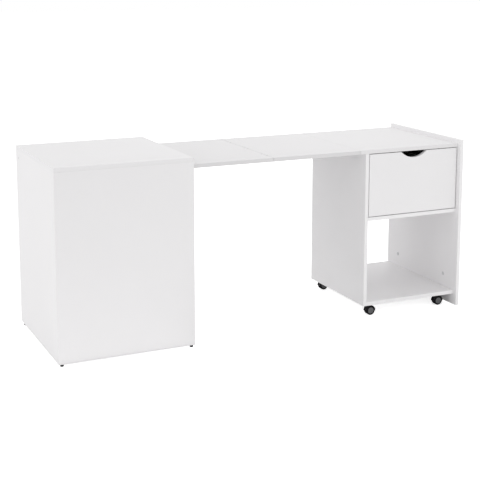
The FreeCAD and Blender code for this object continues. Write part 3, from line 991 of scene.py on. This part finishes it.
@dataclass
class Casters:
    """Hooded twin tyres with grey hub discs at the pedestal's four corners."""

    wheel_radius: float = 20.0 * MM
    wheel_width: float = 9.0 * MM
    inner_face: float = 4.0 * MM
    bore_radius: float = 2.55 * MM
    rim_round: float = 2.4 * MM
    rim_land: float = 3.4 * MM
    recess: float = 0.95 * MM
    recess_wall: float = 0.4 * MM
    hub_radius: float = 13.4 * MM
    hub_thickness: float = 0.7 * MM
    hub_rings: tuple[Pair, ...] = (
        (0.5 * MM, 0.12 * MM), (3.0 * MM, 0.0), (0.3 * MM, -0.25 * MM), (0.6 * MM, 0.0),
        (0.3 * MM, 0.25 * MM), (3.6 * MM, 0.05 * MM), (0.4 * MM, -0.3 * MM), (2.0 * MM, 0.2 * MM),
    )
    hood_radius: float = 22.5 * MM
    hood_round: float = 0.8 * MM
    hood_sides: int = 96
    round_faces: int = 3
    well_radius: float = 20.7 * MM
    web: float = 7.0 * MM
    trail: float = 12.0 * MM
    boss_radius: float = 9.0 * MM
    boss_rim: float = 0.8 * MM
    boss_sides: int = 48
    kingpin_radius: float = 4.05 * MM
    kingpin_depth: float = 12.0 * MM
    axle_radius: float = 2.5 * MM
    axle_sides: int = 32
    merge_width: float = 0.01 * MM
    first: Corner = Corner.FRONT_LEFT

    def tyre(self, centre: Vector, outwards: Vector) -> Object:
        """Models one tyre.

        Args:
            centre: Middle of the wheel pair.
            outwards: The way the wheel's outer face looks.

        Returns:
            The tyre.
        """
        seat = centre + (self.inner_face + self.wheel_width / 2) * outwards
        tyre = turned("tyre", self.wheel_radius, self.wheel_width, seat, Axis.Y)
        round_rims(tyre, 1, self.rim_round)
        flat = self.wheel_radius - self.rim_round
        floor = flat - self.rim_land - self.recess_wall - self.bore_radius
        step(tyre, outwards, (self.rim_land, 0.0), (self.recess_wall, -self.recess), (floor, 0.0))
        step(tyre, -outwards, (flat - self.bore_radius, 0.0))
        bore_through(tyre)
        return tyre

    def hub(self, centre: Vector, outwards: Vector) -> Object:
        """Models the disc that covers a wheel's outer recess.

        Args:
            centre: Middle of the wheel pair.
            outwards: The way the wheel's outer face looks.

        Returns:
            The disc.
        """
        recess_floor = self.inner_face + self.wheel_width - self.recess
        seat = centre + (recess_floor + self.hub_thickness / 2) * outwards
        disc = turned("hub", self.hub_radius, self.hub_thickness, seat, Axis.Y)
        step(disc, outwards, *self.hub_rings)
        return disc

    def hood(self, centre: Vector, low: Vector, high: Vector) -> Object:
        """Models the moulded hood: a fender with two wheel wells, a web and a boss with a collar.

        Args:
            centre: Middle of the wheel pair.
            low: Lowest corner of the plain hood.
            high: Highest corner of the plain hood.

        Returns:
            The hood.
        """
        hood = turned("hood", self.hood_radius, high.y - low.y, centre, Axis.Y, self.hood_sides)
        round_rims(hood, 1, self.hood_round, self.round_faces)
        with editing(hood):
            bpy.ops.mesh.select_all(action="SELECT")
            skirt = (centre.x, centre.y, low.z)
            bpy.ops.mesh.bisect(plane_co=skirt, plane_no=(0, 0, 1), use_fill=True, clear_inner=True)
        swivel = Vector((centre.x - self.trail, centre.y, 0.0))
        seat = swivel + Vector((0, 0, (centre.z + high.z) / 2))
        boss = turned("boss", self.boss_radius, high.z - centre.z, seat, Axis.Z, self.boss_sides)
        step(boss, UP, (self.boss_rim, 0.0))
        rim = swivel + Vector((0, 0, high.z))
        round_edges(boss, lambda a, b: self.on_rim(a, rim) and self.on_rim(b, rim), self.hood_round, self.round_faces)
        carve(hood, boss, "UNION")
        half = (high.y - low.y) / 2
        for outwards in (FORWARDS, BACKWARDS):
            seat = centre + (self.web / 2 + half / 2) * outwards
            carve(hood, turned("well", self.well_radius, half, seat, Axis.Y, self.hood_sides))
        carve(hood, turned("axle_bore", self.axle_radius, 2 * half, centre, Axis.Y, self.axle_sides))
        carve(hood, turned("pin_bore", self.kingpin_radius, 2 * self.kingpin_depth, rim, Axis.Z, self.boss_sides))
        with editing(hood):
            bpy.ops.mesh.select_all(action="SELECT")
            bpy.ops.mesh.dissolve_degenerate(threshold=self.merge_width)
            bpy.ops.mesh.remove_doubles(threshold=self.merge_width)
        return hood

    def on_rim(self, point: Vector, middle_of_rim: Vector) -> bool:
        """Whether a point lies on the boss's upper outer rim."""
        away = point - middle_of_rim
        return away.z > -NEAR and away.xy.length > self.boss_radius - NEAR

    def build(self) -> None:
        """Models one caster and puts a copy of it at each corner."""
        first = self.first.value
        start = middle(f"caster_wheels_{first}")
        low, high = (Vector(corner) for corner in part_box(f"caster_hood_{first}"))
        faces = (FORWARDS, BACKWARDS)
        patterns = (
            joined("caster_tyres", [self.tyre(start, outwards) for outwards in faces]),
            joined("caster_hubs", [self.hub(start, outwards) for outwards in faces]),
            joined("caster_fender", [self.hood(start, low, high)]),
        )
        for corner in Corner:
            name = corner.value
            shift = middle(f"caster_wheels_{name}") - start
            tyres, hubs, fender = (copied(pattern, f"{pattern.name}_{name}", shift) for pattern in patterns)
            place(tyres, f"wheels_{name}", "wheel_plastic", TYRE_PLASTIC.material(), f"caster_wheels_{name}")
            place(hubs, f"wheels_{name}", "wheel_plastic", GREY_HUB.material())
            place(fender, f"caster_{name}", "black_plastic", BLACK_PLASTIC.material(), f"caster_hood_{name}")
        for pattern in patterns:
            bpy.data.objects.remove(pattern)


@dataclass
class Feet:
    """Nail-in glides under the cabinet's boards."""

    radius: float = 7.0 * MM
    nail_radius: float = 1.5 * MM
    nail_length: float = 12.0 * MM
    sole_round: float = 1.2 * MM
    round_faces: int = 4
    sides: int = 40

    def glide(self, low: Vector, high: Vector) -> Object:
        """Models one glide with its nail.

        Args:
            low: Lowest corner of the plain glide.
            high: Highest corner of the plain glide.

        Returns:
            The glide.
        """
        foot_top = high.z - self.nail_length
        centre = Vector(((low.x + high.x) / 2, (low.y + high.y) / 2, (low.z + foot_top) / 2))
        foot = turned("glide", self.radius, foot_top - low.z, centre, Axis.Z, self.sides)
        round_edges(foot, lambda a, b: max(a.z, b.z) < low.z + NEAR, self.sole_round, self.round_faces)
        step(foot, UP, (self.radius - self.nail_radius, 0.0))
        with editing(foot):
            pick_faces(foot, cap_facing(UP))
            bpy.ops.mesh.extrude_region_move(TRANSFORM_OT_translate={"value": (0, 0, self.nail_length)})
        return foot

    def build(self) -> None:
        """Models the glides as one piece on the cabinet."""
        glides = [self.glide(low, high) for low, high in solids_of("cabinet_glides")]
        place(joined("cabinet_feet", glides), "cabinet", "black_plastic", BLACK_PLASTIC.material(), "cabinet_glides")


@dataclass
class FixingCaps:
    """Round caps over the fittings on the end board's inner face."""

    radius: float = 8.0 * MM
    thickness: float = 1.5 * MM
    plug_radius: float = 5.0 * MM
    plug_length: float = 10.0 * MM
    rim_round: float = 0.6 * MM
    round_faces: int = 3
    face_rings: tuple[Pair, ...] = (
        (2.2 * MM, 0.0), (0.3 * MM, -0.35 * MM), (1.6 * MM, 0.0), (0.3 * MM, 0.3 * MM),
    )
    sides: int = 48

    def cap(self, low: Vector, high: Vector) -> Object:
        """Models one cap with its plug.

        Args:
            low: Lowest corner of the plain cap.
            high: Highest corner of the plain cap.

        Returns:
            The cap.
        """
        centre = (low + high) / 2
        centre.x = low.x + self.thickness / 2
        cap = turned("cap", self.radius, self.thickness, centre, Axis.X, self.sides)
        round_edges(cap, lambda a, b: max(a.x, b.x) < low.x + NEAR, self.rim_round, self.round_faces)
        step(cap, LEFT, *self.face_rings)
        step(cap, RIGHT, (self.radius - self.plug_radius, 0.0))
        with editing(cap):
            pick_faces(cap, cap_facing(RIGHT))
            bpy.ops.mesh.extrude_region_move(TRANSFORM_OT_translate={"value": (self.plug_length, 0, 0)})
        return cap

    def build(self) -> None:
        """Models the caps as one piece on the pedestal."""
        caps = [self.cap(low, high) for low, high in solids_of("fixing_caps")]
        place(joined("fixing_covers", caps), "rolling_pedestal", "cap_plastic", GREY_CAP_PAINTED_SHADE.material(), "fixing_caps")


@dataclass
class GuideRollers:
    """Small rollers at the folding top's free end."""

    rim_round: float = 0.9 * MM
    round_faces: int = 3
    bore_radius: float = 2.55 * MM
    groove: float = 0.35 * MM
    face_shares: Triple = (0.3, 0.15, 0.55)
    sides: int = 48

    def build(self) -> None:
        """Models both rollers."""
        for side in Side:
            node = f"guide_roller_{side.value}"
            low, high = (Vector(corner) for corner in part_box(node))
            radius = (high.z - low.z) / 2
            roller = turned("roller", radius, high.y - low.y, (low + high) / 2, Axis.Y, self.sides)
            round_rims(roller, 1, self.rim_round, self.round_faces)
            face = radius - self.rim_round - self.bore_radius
            outer, slope, inner = (share * face for share in self.face_shares)
            for outwards in (FORWARDS, BACKWARDS):
                step(roller, outwards, (outer, 0.0), (slope, -self.groove), (inner, 0.0))
            bore_through(roller)
            piece = joined(f"guide_wheel_{side.value}", [roller])
            place(piece, f"roller_{side.value}", "roller_nylon", NYLON.material(), node)


@dataclass
class SlideBolts:
    """Flat bolts with ribbed knobs under the middle seam."""

    knob_radius: float = 4.0 * MM
    knob_length: float = 8.0 * MM
    knob_rings: tuple[Pair, ...] = ((0.7 * MM, 0.0), (0.3 * MM, -0.3 * MM), (1.2 * MM, 0.2 * MM))
    knob_sides: int = 36
    edge: float = 0.6 * MM
    rib_depth: float = 0.35 * MM
    rib_slope: float = 0.05 * MM
    upright: float = 0.1

    def build(self) -> None:
        """Models both bolts."""
        for side in Side:
            node = f"slide_bolt_{side.value}"
            low, high = (Vector(corner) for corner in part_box(node))
            strip = bar("bolt", low + Vector((0, 0, self.knob_length)), high)
            soften(strip, self.edge)
            seat = Vector((self.knob_centre(node), (low.y + high.y) / 2, low.z + self.knob_length / 2))
            knob = turned("knob", self.knob_radius, self.knob_length, seat, Axis.Z, self.knob_sides)
            with editing(knob):
                pick_faces(knob, lambda face: abs(face.normal.z) < self.upright and face.index % 2 == 0)
                bpy.ops.mesh.inset(thickness=self.rib_slope, depth=-self.rib_depth, use_individual=True)
            step(knob, DOWN, *self.knob_rings)
            piece = joined(f"bolt_with_knob_{side.value}", [strip, knob])
            place(piece, f"bolt_{side.value}", "steel", ZINC.material(), node)

    def knob_centre(self, node: str) -> float:
        """The knob's place along X, read from the lowest points of the plain bolt.

        Args:
            node: The CAD node of the bolt.

        Returns:
            The middle of the knob along X.
        """
        points = [vert.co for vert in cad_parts[node].data.vertices]
        lowest = min(point.z for point in points)
        across = [point.x for point in points if point.z < lowest + NEAR]
        return (min(across) + max(across)) / 2


@dataclass
class Dressing:
    """Finishes for the CAD nodes that stay as they are."""

    wrapped: tuple[str, ...] = ("cabinet_top", "cabinet_left_side", "cabinet_front", "cabinet_back")
    tops: tuple[str, ...] = ("fixed_top",)
    leaves: tuple[str, ...] = ("inner_leaf", "outer_leaf")
    boards: tuple[str, ...] = (
        "end_board", "pedestal_side", "bottom_shelf", "drawer_divider", "pedestal_back_board", "drawer_front",
    )
    linings: tuple[str, ...] = ("drawer_side_left", "drawer_side_right", "drawer_back", "drawer_bottom")
    beech: tuple[str, ...] = ("cabinet_dowels", "pedestal_dowels", "corner_blocks")
    rails: tuple[str, ...] = ("guide_rail_front", "guide_rail_back")
    enamel: tuple[str, ...] = ("middle_hinge_inner_halves", "middle_hinge_outer_halves", "middle_hinge_pins")
    zinc: tuple[str, ...] = (
        "caster_plates", "fold_hinge_fixed_halves", "fold_hinge_moving_halves", "fold_hinge_pins", "bolt_housings",
        "bolt_keepers", "roller_brackets", "drawer_runners", "drawer_slides",
    )

    def dress(self, node: str, material: Material) -> None:
        """Gives a CAD node its finish and reports it.

        Args:
            node: The node's name.
            material: Its material.
        """
        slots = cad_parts[node].data.materials
        if not slots:
            slots.append(material)
        for index in range(len(slots)):
            slots[index] = material
        log.info("%s keeps its solid, finish %s", node, material.name)

    def build(self) -> None:
        """Dresses every node that no new piece replaces."""
        faced: tuple[tuple[tuple[str, ...], BoardFinish], ...] = (
            (self.wrapped, WHITE_WRAP), (self.tops, WHITE_TOP_PAINTED_SHADE), (self.leaves, WHITE_LEAF_PAINTED_SHADE),
            (self.boards, WHITE_BOARD), (self.linings, WHITE_LINING),
        )
        for nodes, board in faced:
            for node in nodes:
                self.dress(node, board.for_board(node))
        plain: tuple[tuple[tuple[str, ...], Finish], ...] = (
            (self.beech, BEECH), (self.rails, SATIN_ALUMINIUM), (self.enamel, WHITE_ENAMEL_PAINTED_SHADE), (self.zinc, ZINC),
        )
        for nodes, finish in plain:
            for node in nodes:
                self.dress(node, finish.material())
        for corner in Corner:
            self.dress(f"caster_axle_{corner.value}", ZINC.material())


@dataclass(frozen=True)
class Lamp:
    """One soft square lamp: where it stands, what it is turned to, its side and its power."""

    name: str
    spot: Triple
    aim: Triple
    size: float
    power: float


@dataclass
class Studio:
    """White floor, soft light and the camera at the photograph's angle."""

    focal_pixels: float = 1112.749
    frame_pixels: float = 480.0
    sensor: float = 36.0
    yaw: float = 24.534
    pitch: float = 9.511
    shift_y: float = -0.1875
    eye: Triple = (-1.9423, -4.2053, 1.4971)
    view_end: float = 200.0
    world_light: float = 0.85
    floor_size: float = 60.0
    floor_drop: float = 0.2 * MM
    floor_colour: Triple = (0.95, 0.95, 0.95)
    floor_glow: float = 0.75
    lamps: tuple[Lamp, ...] = (
        Lamp("key", (-4.8, 1.2, 1.9), (0.0, 0.0, 0.4), 3.0, 22.0),
        Lamp("fill", (0.60, -1.5, 0.32), (0.67, -0.2, 0.35), 0.8, 1.15),
        Lamp("bounce", (-0.85, -0.80, 0.01), (-0.85, -0.80, 1.0), 1.0, 0.6),
        Lamp("overhead", (0.62, 0.2, 1.7), (0.62, 0.2, 0.0), 1.0, 1.25),
        Lamp("under_top", (0.18, 0.0, 0.01), (0.18, 0.0, 1.0), 0.4, 0.14),
    )

    def camera(self) -> None:
        """Sets the camera from the fit to the photograph's straight edges."""
        data = bpy.data.cameras.new("view")
        data.sensor_width = self.sensor
        data.lens = self.focal_pixels / self.frame_pixels * self.sensor
        data.shift_y = self.shift_y
        data.clip_end = self.view_end
        obj = bpy.data.objects.new("view", data)
        obj.location = self.eye
        obj.rotation_euler = (math.radians(90.0 - self.pitch), 0.0, -math.radians(self.yaw))
        bpy.context.scene.collection.objects.link(obj)
        bpy.context.scene.camera = obj

    def lights(self) -> None:
        """Adds the soft lamps, which the camera doesn't see."""
        for lamp in self.lamps:
            data = bpy.data.lights.new(lamp.name, "AREA")
            data.size = lamp.size
            data.energy = lamp.power
            obj = bpy.data.objects.new(lamp.name, data)
            obj.location = lamp.spot
            aim = Vector(lamp.aim) - Vector(lamp.spot)
            obj.rotation_euler = aim.to_track_quat("-Z", "Y").to_euler()
            obj.visible_camera = False
            bpy.context.scene.collection.objects.link(obj)

    def world(self) -> None:
        """White where the camera, gloss or glass looks out, and a plain soft light elsewhere."""
        world = bpy.data.worlds.new("studio")
        world.use_nodes = True
        world.node_tree.nodes.clear()
        sheet = Sheet(world.node_tree)
        path = sheet.add("LightPath")
        seen = sheet.math("MAXIMUM", path.outputs["Is Camera Ray"], path.outputs["Is Glossy Ray"])
        seen = sheet.math("MAXIMUM", seen, path.outputs["Is Transmission Ray"])
        strength = sheet.spread(seen, UNIT, (self.world_light, 1.0))
        back = sheet.add("Background", Color=(1.0, 1.0, 1.0, 1.0), Strength=strength)
        output = sheet.add("OutputWorld")
        sheet.feed(output.inputs["Surface"], back.outputs[0])
        bpy.context.scene.world = world

    def floor(self) -> None:
        """A wide pale floor that keeps the desk's shadow."""
        bpy.ops.object.select_all(action="DESELECT")
        bpy.ops.mesh.primitive_plane_add(size=self.floor_size, location=(0.0, 0.0, -self.floor_drop))
        plane = settle(bpy.context.object, "floor")
        material = bpy.data.materials.new("studio_floor")
        material.use_nodes = True
        material.node_tree.nodes.clear()
        sheet = Sheet(material.node_tree)
        matt = sheet.add("BsdfDiffuse", Color=(*self.floor_colour, 1.0))
        path = sheet.add("LightPath")
        glow = sheet.math("MULTIPLY", path.outputs["Is Camera Ray"], self.floor_glow)
        lit = sheet.add("Emission", Color=(1.0, 1.0, 1.0, 1.0), Strength=glow)
        both = sheet.add("AddShader")
        sheet.feed(both.inputs[0], matt.outputs[0])
        sheet.feed(both.inputs[1], lit.outputs[0])
        output = sheet.add("OutputMaterial")
        sheet.feed(output.inputs["Surface"], both.outputs[0])
        plane.data.materials.append(material)

    def build(self) -> None:
        """Sets up floor, world, lamps and camera."""
        bpy.context.scene.view_settings.view_transform = "Standard"
        self.floor()
        self.world()
        self.lights()
        self.camera()


def main() -> None:
    """Builds the pieces in order, dresses the solids and sets the studio."""
    logging.basicConfig(level=logging.INFO, format="%(message)s")
    Casters().build()
    Feet().build()
    FixingCaps().build()
    GuideRollers().build()
    SlideBolts().build()
    Screws().build()
    Dressing().build()
    Studio().build()


if __name__ == "__main__":
    main()
